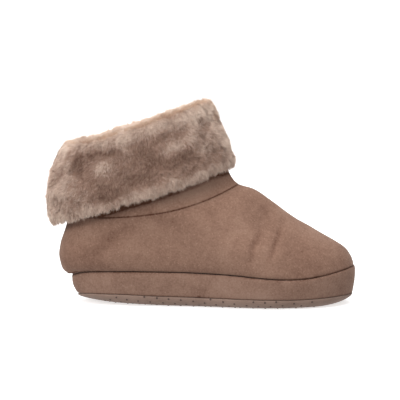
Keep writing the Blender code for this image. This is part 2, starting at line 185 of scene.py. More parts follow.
SOLE_CURL = (
    # share of length, lift
    (0.0, 0.003), (0.1, 0.0027), (0.2, 0.0014), (0.34, 0.0001), (0.36, 0.0), (0.38, 0.0),
    (0.84, 0.0), (0.86, 0.0), (0.88, 0.0001), (0.95, 0.0016), (1.0, 0.0036),
)
CREASES = (
    # side, points as (x, z), half-width, depth
    (-1, ((0.0615, 0.073), (0.0597, 0.0639), (0.0578, 0.0586), (0.055, 0.05)), 0.0009, 0.00055),
    (-1, ((0.0645, 0.079), (0.0597, 0.0639), (0.0555, 0.053), (0.049, 0.037)), 0.0042, 0.00085),
    (-1, ((0.044, 0.07), (0.04, 0.059), (0.0366, 0.049), (0.0345, 0.038)), 0.0034, 0.00085),
    (-1, ((0.041, 0.061), (0.0378, 0.053), (0.0362, 0.046)), 0.0009, 0.00045),
    (-1, ((0.0518, 0.05), (0.0508, 0.046), (0.05, 0.0425)), 0.001, 0.0003),
    (-1, ((-0.104, 0.045), (-0.0912, 0.0577), (-0.076, 0.0712), (-0.064, 0.0805)), 0.007, 0.0011),
    (-1, ((-0.06, 0.083), (-0.043, 0.076), (-0.026, 0.072)), 0.007, 0.0007),
    (-1, ((0.04, 0.09), (0.047, 0.085), (0.053, 0.077)), 0.007, 0.001),
    (1, ((0.056, 0.076), (0.054, 0.066), (0.05, 0.054)), 0.004, 0.0008),
    (1, ((0.055, 0.074), (0.0535, 0.065), (0.0505, 0.056)), 0.0009, 0.00045),
    (1, ((0.035, 0.068), (0.033, 0.058), (0.029, 0.048)), 0.0038, 0.0006),
    (1, ((-0.098, 0.048), (-0.086, 0.06), (-0.07, 0.076)), 0.007, 0.001),
    (1, ((-0.05, 0.08), (-0.03, 0.074), (-0.015, 0.072)), 0.007, 0.0006),
)
# Strokes of painted light and shade among nap marks: most darker strokes follow the creases and paint
# their shade.
NAP_AND_PAINTED_SHADE_STROKES = (
    # side, points as (x, z), half-width, shade: below 0 is darker and above 0 is paler
    (-1, ((-0.112, 0.0452), (-0.095, 0.057), (-0.079, 0.0688), (-0.056, 0.084)), 0.0072, -0.75),
    (-1, ((-0.108, 0.0465), (-0.093, 0.0572), (-0.078, 0.0682), (-0.064, 0.0775)), 0.0052, -0.3),
    (-1, ((-0.061, 0.086), (-0.046, 0.0805), (-0.029, 0.075)), 0.006, -0.8),
    (-1, ((0.042, 0.09), (0.048, 0.084), (0.052, 0.076)), 0.006, -0.45),
    # Painted light over the toe's upper side.
    (-1, ((0.076, 0.07), (0.088, 0.064), (0.098, 0.056)), 0.007, 0.5),
    (-1, ((0.0635, 0.078), (0.0597, 0.0639), (0.0545, 0.05), (0.05, 0.039)), 0.0026, -0.85),
    (-1, ((0.043, 0.069), (0.039, 0.056), (0.035, 0.04)), 0.003, -0.85),
    (-1, ((-0.02, 0.09), (-0.005, 0.078), (0.005, 0.064)), 0.008, 0.3),
    # Painted light: a paler band on the collar just under the cuff's hem.
    (-1, ((-0.054, 0.0925), (-0.035, 0.098), (-0.018, 0.1035), (0.0, 0.111), (0.02, 0.121)),
     0.0075, 1.3),
    (-1, ((-0.12, 0.06), (-0.115, 0.05), (-0.112, 0.042)), 0.006, -0.1),
    (1, ((-0.094, 0.052), (-0.08, 0.066), (-0.066, 0.078)), 0.0055, -0.7),
    (1, ((-0.045, 0.08), (-0.03, 0.076), (-0.012, 0.074)), 0.007, -0.45),
    # Painted light over the toe's upper side.
    (1, ((0.075, 0.068), (0.088, 0.06), (0.096, 0.052)), 0.007, 0.45),
)
# Patches of painted sheen and shade on the pile, where it turns towards or away from the light.
PILE_SHEEN_AND_SHADE_PATCHES = (
    # x, z, half-length, half-width, turn in degrees, shade
    (-0.095, 0.127, 0.011, 0.007, 30, 0.55),
    (-0.075, 0.144, 0.005, 0.01, -10, 0.65),
    (-0.03, 0.146, 0.014, 0.005, 24, 0.8),
    (-0.018, 0.156, 0.005, 0.01, -20, 0.6),
    (-0.008, 0.142, 0.008, 0.006, 20, 0.35),
    (-0.117, 0.128, 0.005, 0.016, 12, -0.8),
    (-0.098, 0.139, 0.016, 0.005, 8, -0.65),
    (-0.06, 0.138, 0.015, 0.008, 14, -0.55),
    (-0.036, 0.13, 0.02, 0.005, 10, -0.7),
    (-0.066, 0.115, 0.015, 0.008, 8, -0.45),
    (-0.091, 0.104, 0.013, 0.007, -15, -0.75),
    (-0.022, 0.14, 0.007, 0.004, 0, -0.45),
    (-0.116, 0.1, 0.01, 0.008, 0, 0.45),
    (-0.045, 0.112, 0.012, 0.004, 15, 0.3),
    (-0.118, 0.114, 0.006, 0.008, 0, 0.4),
    (-0.002, 0.15, 0.012, 0.014, 0, 0.55),
    (-0.01, 0.17, 0.014, 0.007, 20, 0.7),
    (0.012, 0.142, 0.005, 0.02, 22, 0.45),
    (-0.091, 0.13, 0.01, 0.01, 0, 0.2),
)
# share of length, share of HEEL_TUCK
HEEL_CORNER = ((0.00, 1.0), (0.04, 0.6), (0.14, 0.0))
# share of the loop, share of HEM_RISE
HEM_ROUND = ((0.00, 0.0), (0.04, 0.2), (0.14, 1.0), (0.60, 1.0), (0.85, 0.4), (1.00, 0.0))
# radius / DOT_RADIUS, height / DOT_HEIGHT
DOT_RINGS = ((1.00, -0.40), (0.72, 0.65))
WRAP_ROWS = (
    # share of the height between the seams, how far it turns in, how uneven it is
    (-0.009, 0.0008, 0.0),
    (0.01, 0.0005, 0.0),
    (0.03, 0.0002, 0.0),
    (0.06, 0.00008, 0.0),
    *((share, 0.0, math.sin(math.pi * share))
      for share in (0.1, 0.18, 0.27, 0.36, 0.45, 0.54, 0.63, 0.72, 0.8, 0.87)),
    (0.91, 0.00006, 0.2),
    (0.945, 0.0002, 0.0),
    (0.97, 0.0004, 0.0),
    (0.985, 0.0007, 0.0),
)
WRAP_TOP_SHARE = 0.99
WRAP_TOP_INSETS = (0.0030, 0.0080)
FOOTBED_ROWS = (
    # inset / INSOLE_THICKNESS, height / INSOLE_THICKNESS
    (0.15, 0.00), (0.04, 0.08), (0.00, 0.25), (0.00, 0.55), (0.04, 0.78),
    (0.14, 0.92), (0.30, 1.00), (0.70, 1.07), (1.10, 1.13), (1.60, 1.20),
)
# first level, last level, sections
UPPER_SPANS = ((0.0, 0.9, 13), (0.9, 3.0, 21), (3.0, 8.7, 65), (8.7, 8.993, 5))
SHAFT_SPANS = ((9.004, 9.3, 7), (9.3, 13.0, 33))
LINING_SPANS = ((2.3, 8.9, 19), (8.9, 9.1, 1), (9.1, LINING_LEVEL - 0.05, 6))
FORM_PARTS = 5
FOLD_ROW = 5 * FORM_PARTS
PILE_SPANS = (
    # name, first row, last row, hairs, seed, length / PILE_LENGTH
    ("cuff_pile_fold", FOLD_ROW - 7, FOLD_ROW + 12, 46000, 61, 1.0),
    ("cuff_pile_upper", FOLD_ROW + 8, FOLD_ROW + 28, 62000, 62, 1.0),
    ("cuff_pile_lower", FOLD_ROW + 26, None, 62000, 63, 1.0),
    ("cuff_pile_lining", 0, FOLD_ROW - 5, 32000, 64, 0.6),
)
FRINGE_HAIRS = 22000
LINING_HAIRS = 14000

COLOURS = {
    # material: dark, middle, pale
    "upper_suede": ((0.185, 0.100, 0.070), (0.262, 0.152, 0.108), (0.335, 0.208, 0.152)),
    "wrap_suede": ((0.195, 0.109, 0.078), (0.270, 0.161, 0.117), (0.335, 0.213, 0.161)),
    "cuff_plush": ((0.212, 0.118, 0.082), (0.478, 0.308, 0.233), (0.860, 0.712, 0.603)),
    "lining_plush": ((0.190, 0.106, 0.076), (0.440, 0.290, 0.224), (0.780, 0.640, 0.540)),
}
SEAM_SHADE_COLOUR = (0.095, 0.038, 0.021)
LIGHTS = (
    # name, place, height of what it points at, size, power
    ("top", (0.0, -0.3, 2.2), 0.06, 2.4, 36),
    ("key", (-1.5, -1.8, 1.2), 0.06, 1.2, 30),
    ("rim", (0.2, 1.3, 1.2), 0.1, 1.0, 3),
)
FLOOR_REACH = 40.0
BACKDROP_RADIUS = 38.0
CAMERA_DISTANCE = 2.0
CAMERA_HEIGHT = 0.304
CAMERA_OVER = -0.0118
CAMERA_YAW = math.radians(4.0)
CAMERA_PITCH = math.radians(6.03)
CAMERA_LENS = 200.5
SENSOR_WIDTH = 36.0

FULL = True
ROUND_COUNT = 400 if FULL else 240
FORM_ROUND_COUNT = 300 if FULL else 200
HAIR_SHARE = 1.0 if FULL else 0.35
TINY_TURN = 1e-4


def smooth(x, knots, values):
    """Cubic through values at knots, level at both ends. x may be an array."""
    knots, values = np.asarray(knots, float), np.asarray(values, float)
    x = np.clip(np.asarray(x, float), knots[0], knots[-1])
    slopes = np.gradient(values, knots, axis=0)
    slopes[0] = slopes[-1] = 0
    i = np.clip(np.searchsorted(knots, x, side="right") - 1, 0, len(knots) - 2)
    spread = (...,) + (None,) * (values.ndim - 1)
    width = (knots[i + 1] - knots[i])[spread]
    t = (x - knots[i])[spread] / width
    start = (1 + 2 * t) * (1 - t) ** 2 * values[i] + width * t * (1 - t) ** 2 * slopes[i]
    end = t * t * (3 - 2 * t) * values[i + 1] + width * t * t * (t - 1) * slopes[i + 1]
    return start + end


def column(rows, index):
    return [row[index] for row in rows]


def read_off(table, x, index=1):
    """A column of a table at x, smooth between rows. The first column is where each row is."""
    return smooth(x, column(table, 0), column(table, index))


def bell(x, width):
    """1 at x = 0, and about a third of that at width to either side."""
    return np.exp(-((x / width) ** 2))


def below(x, edge, softness):
    """1 well below the edge and 0 well above it."""
    return 1 / (1 + np.exp((x - edge) / softness))


def spaced(spans):
    """Levels evenly spaced within each span, from the first to the last."""
    starts = [np.linspace(low, high, sections, endpoint=False) for low, high, sections in spans]
    return np.append(np.concatenate(starts), spans[-1][1])[None, :]


def turn_at(share):
    return np.arccos(1 - 2 * np.asarray(share)) / math.pi


def turn_of(angle):
    return np.arccos(np.clip(np.cos(angle), -1, 1)) / math.pi


def fullness(turn):
    """Half the platform's width, divided by the half circle's at the same turn."""
    half_length = SOLE_LENGTH / 2
    values = [math.sqrt(HEEL_RADIUS * half_length)]
    values += [width / 4 / math.sqrt(share * (1 - share)) for share, width in OUTLINE]
    values.append(math.sqrt(TOE_RADIUS * half_length))
    return smooth(turn, turn_at([0.0, *column(OUTLINE, 0), 1.0]), values)


def sole_share(x):
    return np.clip(x / SOLE_LENGTH + 0.5, 0, 1)


def middle(x):
    return TOE_SWING * read_off(SWING, sole_share(x))


def profile(x, index):
    return read_off(PROFILE, sole_share(x), index)


def platform_top(x):
    return PLATFORM_HEIGHT * profile(x, 1)


def outsole_seam(x):
    return OUTSOLE_SEAM_HEIGHT * profile(x, 2)


def angles(count):
    return np.arange(count) * 2 * math.pi / count


def outline(inset, angle):
    """The platform's outline, moved inwards, as x and y."""
    def at(turned):
        x = -SOLE_LENGTH / 2 * np.cos(turned)
        return np.stack([x, middle(x) - np.sin(turned) * fullness(turn_of(turned))], -1)

    run = at(angle + TINY_TURN) - at(angle - TINY_TURN)
    outward = unit(np.stack([run[..., 1], -run[..., 0]], -1))
    return at(angle) - outward * np.asarray(inset)[..., None]


def loop_table():
    back_x = -SOLE_LENGTH / 2 + UPPER_INSET
    front_x = SOLE_LENGTH / 2 - UPPER_INSET
    back_z = float(platform_top(back_x)) + GAP
    front_z = float(platform_top(front_x)) + GAP
    table = [
        (back_x - HEEL_BULGE * bulge, back_z + COLLAR_RISE * lift,
         front_x - VAMP_RUN * run, front_z + INSTEP_RISE * rise, *widths)
        for run, rise, bulge, lift, *widths in LOOPS
    ]
    seam = table[-1]
    table += [
        (seam[0] - SHAFT_BACK_LEAN * back_lean, seam[1] + SHAFT_BACK_RISE * back_rise,
         seam[2] - SHAFT_FRONT_LEAN * front_lean, seam[3] + SHAFT_FRONT_RISE * front_rise,
         *widths[:-1], 0.0, widths[-1])
        for front_rise, front_lean, back_rise, back_lean, *widths in SHAFT_LOOPS
    ]
    return np.array(table)


def surface(angle, level):
    """A point on the outside of the upper and shaft."""
    angle, level = np.broadcast_arrays(np.asarray(angle, float), np.asarray(level, float))
    table = loop_table()
    row = smooth(level, range(len(table)), table)
    share, turn = (1 - np.cos(angle)) / 2, turn_of(angle)
    x = row[..., 0] + (row[..., 2] - row[..., 0]) * share
    blend = smooth(turn, turn_at(WIDTH_SHARES), np.eye(len(WIDTH_SHARES)))
    width = (row[..., 4:9] * blend).sum(-1)
    y = middle(x) - np.sin(angle) * fullness(turn) * width
    chord = row[..., 1] + (row[..., 3] - row[..., 1]) * share
    first, seam = table[0], table[SEAM_LEVEL]
    sole_z = platform_top(first[0] + (first[2] - first[0]) * share) + GAP
    over_sole = sole_z - first[1] - (first[3] - first[1]) * share
    over_seam = (seam[3] - seam[1]) * (share**SEAM_SAG - share)
    return np.stack([x, y, chord + row[..., 9] * over_sole + row[..., 10] * over_seam], -1)


def frame_at(angle, level):
    """The surface point, the way up along the surface, and the way out of it."""
    low, high = np.maximum(level - 0.02, 0), np.minimum(level + 0.02, TOP_LEVEL)
    up = unit(surface(angle, high) - surface(angle, low))
    round_foot = surface(angle + TINY_TURN, level) - surface(angle - TINY_TURN, level)
    return surface(angle, level), up, unit(np.cross(round_foot, up))


def unit(vectors):
    return vectors / np.maximum(np.linalg.norm(vectors, axis=-1, keepdims=True), 1e-12)


def inner_wall(angle, level):
    point, _, out = frame_at(angle, level)
    point = point - out * UPPER_WALL
    point[..., 2] = np.maximum(point[..., 2], platform_top(point[..., 0]) + GAP)
    return point


def waves(points, length, seed, count=11):
    """Soft random unevenness, about -1 to 1, whose swells are about length apart."""
    rng = np.random.default_rng(seed)
    way = unit(rng.normal(size=(count, 3))) * (2 * math.pi / length)
    way *= rng.uniform(0.65, 1.5, (count, 1))
    total = np.sin(points @ way.T + rng.uniform(0, 2 * math.pi, count)).sum(-1)
    return total / math.sqrt(count / 2) / 1.6


def stroke(points, side, line, half_width):
    """1 along a line drawn on one side of the shoe, fading to 0 beside it and at its ends."""
    x, z = points[..., 0], points[..., 2]
    nearest, along_best = np.full(x.shape, 1e9), np.zeros(x.shape)
    count = len(line) - 1
    for number, ((ax, az), (bx, bz)) in enumerate(zip(line, line[1:])):
        dx, dz = bx - ax, bz - az
        along = np.clip(((x - ax) * dx + (z - az) * dz) / (dx * dx + dz * dz), 0, 1)
        away = np.hypot(x - ax - along * dx, z - az - along * dz)
        closer = away < nearest
        nearest = np.where(closer, away, nearest)
        along_best = np.where(closer, (number + along) / count, along_best)
    taper = np.sin(math.pi * np.clip(along_best, 0.04, 0.96)) ** 0.7
    on_side = np.clip(side * (points[..., 1] - middle(x)) / 0.006, 0, 1)
    return bell(nearest, half_width) * taper * on_side


def steps(points):
    """Distance run along the second axis of a grid of points."""
    run = np.linalg.norm(np.diff(points, axis=1), axis=-1)
    return np.concatenate([np.zeros((len(points), 1)), np.cumsum(run, 1)], 1)


def placed(name, data):
    """A new object in the scene that holds the data."""
    thing = bpy.data.objects.new(name, data)
    bpy.context.scene.collection.objects.link(thing)
    return thing


def new_piece(name, points, faces, material, slot, node=None, **attributes):
    """A smooth mesh as a piece of the shoe, with attributes that its points have or share."""
    mesh = bpy.data.meshes.new(name)
    mesh.from_pydata(np.reshape(points, (-1, 3)).tolist(), [], faces)
    mesh.shade_smooth()
    for key, values in attributes.items():
        layer = mesh.attributes.new(key, "FLOAT", "POINT")
        values = np.broadcast_to(values, points.shape[:-1])
        layer.data.foreach_set("value", values.astype(np.float32).ravel())
    mesh.materials.append(material)
    piece = placed(name, mesh)
    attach(piece, "root")
    if node:
        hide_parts(node)
    return piece


def grid_faces(rows, columns, closed_columns=True):
    """Four-sided faces of a grid closed round the foot."""
    row = np.arange(rows)[:, None]
    place = np.arange(columns if closed_columns else columns - 1)[None, :]
    next_row, next_place = (row + 1) % rows, (place + 1) % columns
    corners = [row * columns + place, next_row * columns + place,
               next_row * columns + next_place, row * columns + next_place]
    return np.stack(corners, -1).reshape(-1, 4).tolist()


def end_faces(rows, columns, end):
    """Strips across the foot that close a slab at its first or last place."""
    def at(row):
        return int(row % rows) * columns + end

    toe = rows // 2
    strips = [(at(row), at(row + 1), at(-row - 1), at(-row)) for row in range(1, toe - 1)]
    return [(at(0), at(1), at(-1)), *strips, (at(toe - 1), at(toe), at(toe + 1))]


def outward_piece(name, grid, faces, material, **facts):
    """A closed piece whose faces all look outwards."""
    piece = new_piece(name, grid, faces, material, **facts)
    bm = bmesh.new()
    bm.from_mesh(piece.data)
    bmesh.ops.recalc_face_normals(bm, faces=bm.faces)
    bm.to_mesh(piece.data)
    bm.free()
    return piece


def tube_piece(name, grid, material, **facts):
    """Closed sections joined round the foot."""
    return outward_piece(name, grid, grid_faces(*grid.shape[:2]), material, **facts)


def slab_piece(name, grid, material, **facts):
    """Rings joined into a slab, both ends closed by strips across the foot."""
    rows, columns = grid.shape[:2]
    faces = grid_faces(rows, columns, closed_columns=False)
    for end in (0, columns - 1):
        faces += end_faces(rows, columns, end)
    return outward_piece(name, grid, faces, material, **facts)


# Materials


class Nodes:
    """Short names for building one material's nodes."""

    def __init__(self, name):
        self.material = bpy.data.materials.new(name)
        self.material.use_nodes = True
        self.tree = self.material.node_tree
        self.shader = self.tree.nodes["Principled BSDF"]
        self.place = self.node("TexCoord", "Object")

    def link(self, source, socket):
        if isinstance(source, bpy.types.NodeSocket):
            self.tree.links.new(source, socket)
        else:
            socket.default_value = source

    def node(self, kind, output, **inputs):
        """One output of a new node, whose inputs are numbers or come from sockets."""
        node = self.tree.nodes.new("ShaderNode" + kind)
        for key, source in inputs.items():
            self.link(source, node.inputs[key])
        return node.outputs[output]

    def noise(self, scale, detail=3.0, rough=0.55, warp=0.0):
        return self.node("TexNoise", "Fac", Vector=self.place, Scale=scale, Detail=detail,
                         Roughness=rough, Distortion=warp)

    def uneven(self, *noise):
        """Noise about 0."""
        return self.sums(self.noise(*noise), -0.5)

    def cells(self, scale):
        return self.node("TexVoronoi", "Distance", Vector=self.place, Scale=scale)

    def attribute(self, name):
        node = self.tree.nodes.new("ShaderNodeAttribute")
        node.attribute_name = name
        return node.outputs["Fac"]

    def maths(self, kind, a, b):
        node = self.tree.nodes.new("ShaderNodeMath")
        node.operation = kind
        self.link(a, node.inputs[0])
        self.link(b, node.inputs[1])
        return node.outputs[0]

    def sums(self, *terms):
        """Adds number or (socket, factor) terms."""
        total = 0.0
        for term in terms:
            if isinstance(term, tuple):
                term = self.maths("MULTIPLY", *term)
            total = self.maths("ADD", total, term)
        return total

    def ramp(self, fac, stops):
        node = self.tree.nodes.new("ShaderNodeValToRGB")
        ramp = node.color_ramp
        while len(ramp.elements) < len(stops):
            ramp.elements.new(0.5)
        for element, (position, colour) in zip(ramp.elements, stops):
            element.position = position
            element.color = (*colour, 1)
        self.link(fac, node.inputs["Fac"])
        return node.outputs["Color"]

    def bump(self, height, distance):
        normal = self.node("Bump", "Normal", Height=height, Distance=distance)
        self.link(normal, self.shader.inputs["Normal"])

    def set(self, **values):
        for key, value in values.items():
            self.link(value, self.shader.inputs[key.replace("_", " ")])
        return self.material


def suede(name):
    """Brushed microsuede: blotches where the fibres lie another way, fine grain, and strokes of
    painted light and shade, with painted shade in the seams.
    """
    nodes = Nodes(name)
    shade = nodes.sums(
        0.5,
        # This attribute carries painted light and shade: crease and hem shadows, a darker toe end and
        # paler bands.
        (nodes.attribute("nap"), 0.3),
        (nodes.uneven(32.0, 3.0, 0.55, 0.6), 0.55),
        (nodes.uneven(150.0, 2.0, 0.6, 0.4), 0.4),
        (nodes.uneven(620.0, 2.0, 0.7), 0.85),
        (nodes.maths("LESS_THAN", nodes.cells(330.0), 0.17), 0.3),
    )
    # Painted shade in the seam grooves and on hidden faces.
    seam = nodes.maths("MULTIPLY", nodes.attribute("seam"), 0.5)
    dark, mid, pale = COLOURS[name]
    stops = [(0.0, SEAM_SHADE_COLOUR), (0.2, dark), (0.52, mid), (0.9, pale)]
    colour = nodes.ramp(nodes.maths("SUBTRACT", shade, seam), stops)
    grain = nodes.sums((nodes.noise(1500.0, 3.0, 0.65), 1.0), (nodes.noise(330.0, 2.0), 0.8))
    nodes.bump(grain, 0.00022)
    rough = nodes.sums(0.86, (nodes.noise(240.0, 2.0), 0.14))
    return nodes.set(Base_Color=colour, Roughness=rough, Sheen_Weight=0.22, Sheen_Roughness=0.35,
                     Sheen_Tint=(1.0, 0.84, 0.74, 1), Specular_IOR_Level=0.15)


def plush(name):
    """Pile: dark at the roots, pale at the tips, with painted sheen and shade where it is brushed
    another way.
    """
    nodes = Nodes(name)
    shade = nodes.sums(
        0.24,
        (nodes.attribute("pile"), 0.26),
        (nodes.attribute("shade"), 0.44),
        (nodes.uneven(420.0, 2.0, 0.6), 0.4),
    )
    dark, mid, pale = COLOURS[name]
    colour = nodes.ramp(shade, [(0.0, dark), (0.42, mid), (1.0, pale)])
    return nodes.set(Base_Color=colour, Roughness=0.8, Sheen_Weight=0.25, Sheen_Roughness=0.4,
                     Sheen_Tint=(1.0, 0.9, 0.82, 1), Specular_IOR_Level=0.2)


def gripper_cloth():
    nodes = Nodes("gripper_cloth")
    shade = nodes.sums((nodes.noise(60.0, 3.0), 0.6), (nodes.noise(1300.0, 2.0), 0.4))
    colour = nodes.ramp(shade, [(0.25, (0.2, 0.128, 0.098)), (0.75, (0.34, 0.23, 0.182))])
    nodes.bump(nodes.sums((nodes.cells(1400.0), 1.0), (nodes.noise(500.0), 0.5)), 0.0002)
    return nodes.set(Base_Color=colour, Roughness=0.88, Sheen_Weight=0.15, Specular_IOR_Level=0.25)


def rubber():
    nodes = Nodes("grip_rubber")
    shade = nodes.noise(700.0, 2.0)
    colour = nodes.ramp(shade, [(0.3, (0.05, 0.028, 0.02)), (0.7, (0.08, 0.046, 0.035))])
    nodes.bump(shade, 0.00008)
    return nodes.set(Base_Color=colour, Roughness=0.55, Specular_IOR_Level=0.4)


# Upper and shaft


def crease_height(points):
    height = 0.0003 * waves(points, 0.046, 3) + 0.00012 * waves(points, 0.015, 4)
    for side, line, half_width, depth in CREASES:
        height -= depth * stroke(points, side, line, half_width)
        height += CREASE_BANK * depth * stroke(points, side, line, half_width * CREASE_BANK_SPREAD)
    return height


def nap_shade(points):
    # Random nap tone, plus the strokes' painted light and shade.
    shade = 0.3 * waves(points, 0.06, 7)
    for side, line, half_width, value in NAP_AND_PAINTED_SHADE_STROKES:
        shade += value * stroke(points, side, line, half_width)
    return shade


def with_hidden(values, count, hidden=0.0):
    """Values for a section's outer face, and one value for the count points behind it."""
    return np.pad(values, ((0, 0), (0, count)), constant_values=hidden)


def upper_piece(material):
    angle = angles(ROUND_COUNT)[:, None]
    point, _, out = frame_at(angle, spaced(UPPER_SPANS))
    low = steps(point)
    point[..., 2] -= 0.0002 * bell(low, 0.0015)
    high = low[:, -1:] - low
    turned_in = 0.0006 * bell(low, 0.001) + 0.0003 * bell(high, 0.0006)
    fade = np.clip(np.minimum(low, high) / CREASE_FADE, 0, 1)
    outer = point + out * (crease_height(point) * fade - turned_in)[..., None]
    inner = inner_wall(angle, np.linspace(8.97, 1, 12)[None, :])
    rim = inner[:, -1:].copy()
    rim[..., 2] = outer[:, :1, 2]
    grid = np.concatenate([outer, inner, rim], 1)
    behind = inner.shape[1] + 1
    shade = with_hidden(nap_shade(outer), behind)
    # Painted shade in the seam grooves at both edges, darkest on the hidden inner faces.
    seam = with_hidden(bell(low, SEAM_HALF_WIDTH) + bell(high, SEAM_HALF_WIDTH), behind, 1.0)
    tube_piece("upper_suede", grid, material, node="upper", slot="upper_suede",
               nap=shade, seam=seam)


def shaft_piece(material):
    angle = angles(ROUND_COUNT)[:, None]
    point, _, out = frame_at(angle, spaced(SHAFT_SPANS))
    low = steps(point)
    turned_in = 0.0003 * bell(low, 0.0006)
    swell = 0.00018 * waves(point, 0.03, 5) * np.clip(low / CREASE_FADE, 0, 1)
    outer = point + out * (np.minimum(swell, 0.0001) - turned_in)[..., None]
    inner = (point - out * SHAFT_WALL)[:, ::-4]
    grid = np.concatenate([outer, inner], 1)
    above_hem = cut_depth(CuffCut(ROUND_COUNT))[:, None] - (low[:, -1:] - low)
    under_hem = HEM_SHADOW * bell(np.minimum(0, above_hem + HEM_SHADOW_DROP), HEM_SHADOW_FADE)
    shade = with_hidden(nap_shade(outer) - under_hem, inner.shape[1])
    # Painted shade in the seam groove at the shaft's foot.
    seam = with_hidden(bell(low, SEAM_HALF_WIDTH), inner.shape[1])
    tube_piece("shaft_suede", grid, material, node="shaft", slot="shaft_suede",
               nap=shade, seam=seam)


# Outsole and platform


def sole_lift(x):
    """How far the bottom curls up off the floor towards the heel and the toe."""
    return np.maximum(read_off(SOLE_CURL, sole_share(x)), 0)


def heel_tuck(x, height):
    """The heel's lower corner, worn rounder than the rest of the edge."""
    at_heel = read_off(HEEL_CORNER, sole_share(x))
    return HEEL_TUCK * at_heel * np.clip(1 - height / HEEL_TUCK_TOP, 0, 1) ** 2


def roll_points(angle, inner, degrees):
    """The outsole's rolled edge: 90 degrees is at the floor and 0 at the seam."""
    roll = np.radians(degrees)
    x = outline(SIDE_TAPER, angle)[..., 0]
    reach = OUTSOLE_ROLL * profile(x, 3)
    height = inner + (outsole_seam(x) - inner) * (1 - np.sin(roll))
    inset = SIDE_TAPER + inner + (reach - inner) * (1 - np.cos(roll)) + heel_tuck(x, height)
    xy = outline(inset, angle)
    near_floor = np.clip(1 - height / outsole_seam(xy[..., 0]), 0, 1)
    height = height + sole_lift(xy[..., 0]) * near_floor
    return np.concatenate([xy, height[..., None]], -1)


def ring(inset, height, angle):
    """The outline moved inwards, at a height worked out from x."""
    xy = outline(inset, angle)
    return np.column_stack([xy, height(xy[:, 0])])


def tucked_ring(inset, height, angle):
    """The same, with the heel's corner tucked in."""
    x = outline(0.0, angle)[:, 0]
    return ring(inset + heel_tuck(x, height(x)), height, angle)


def raised(points):
    """Outsole points, raised by a dot's height at the floor and by less further up."""
    share = np.clip(1 - points[..., 2:] / CLOTH_RAISED_BELOW, 0, 1)
    return points + np.array([0, 0, DOT_HEIGHT]) * share


def outsole_rim(x):
    return outsole_seam(x) - 0.0001


def outsole_piece(material):
    angle = angles(ROUND_COUNT)
    outer = [raised(roll_points(angle, 0.0, degrees)) for degrees in np.linspace(90, 3, 18)]
    insets = (SIDE_TAPER + 0.0006, SIDE_TAPER + OUTSOLE_THICKNESS)
    rim = [tucked_ring(inset, outsole_rim, angle) for inset in insets]
    inner = [roll_points(angle, OUTSOLE_THICKNESS, degrees) for degrees in np.linspace(5, 90, 6)]
    grid = np.stack([*outer, *rim, *inner], 1)
    slab_piece("outsole_cloth", grid, material, node="outsole", slot="sole_cloth")


def dot_places():
    """Staggered rows that run on up the rolled sides: each dot's place, the way out of the cloth
    and two ways along it."""
    angle = angles(720)
    rolls = np.linspace(90, 0, 31)
    table = np.stack([roll_points(angle, 0.0, degrees) for degrees in rolls], 1)
    floor_edge = table[:, 0, :2]
    seam_edge = outline(SIDE_TAPER, angle)
    runs = steps(table)
    places = []
    for row in DOT_ROWS:
        y = row * DOT_ROW_PITCH
        for number in DOT_NUMBERS:
            x = number * DOT_PITCH + (row % 2) * DOT_PITCH / 2 + DOT_SHIFT
            away = np.hypot(floor_edge[:, 0] - x, floor_edge[:, 1] - y)
            near = int(away.argmin())
            outward = unit(seam_edge[near] - floor_edge[near])
            beyond = float((np.array([x, y]) - floor_edge[near]) @ outward)
            on_roll = beyond < runs[near, -1] - DOT_SEAM_MARGIN and DOT_ROLL_BACK < x < DOT_ROLL_FRONT
            if beyond <= 0:
                centre = np.array([x, y, float(sole_lift(x))])
                normal = np.array([0, 0, -1.0])
            elif on_roll:
                degrees = float(np.interp(beyond, runs[near], rolls))
                centre = roll_points(angle[[near]], 0.0, degrees)[0]
                ahead = roll_points(angle[[near]], 0.0, degrees - 1)[0] - centre
                along = np.array([-outward[1], outward[0], 0.0])
                normal = unit(np.cross(along, unit(ahead)))
            else:
                continue
            side = unit(np.cross(normal, [1.0, 0.0, 0.0]))
            places.append((raised(centre), normal, side, np.cross(normal, side)))
    return places


def grip_dots(material):
    """Rubber dots as low domes: two rings of points and a tip each."""
    turns = angles(8)
    sides = len(turns)
    points, faces = [], []
    for centre, normal, side, other in dot_places():
        start = len(points)
        for size, height in DOT_RINGS:
            for turn in turns:
                aside = side * math.cos(turn) + other * math.sin(turn)
                points.append(centre + DOT_RADIUS * size * aside + normal * DOT_HEIGHT * height)
        points.append(centre + normal * DOT_HEIGHT)
        tip = start + 2 * sides
        for k in range(sides):
            low, next_low = start + k, start + (k + 1) % sides
            faces.append((low, next_low, next_low + sides, low + sides))
            faces.append((low + sides, next_low + sides, tip))
    new_piece("grip_dots", points, faces, material, slot="sole_cloth")


def wrap_height(share, x):
    """The height at a share of the way from the lower seam to the upper one."""
    low_seam = outsole_seam(x)
    return low_seam + GAP + (platform_top(x) - low_seam - GAP) * share


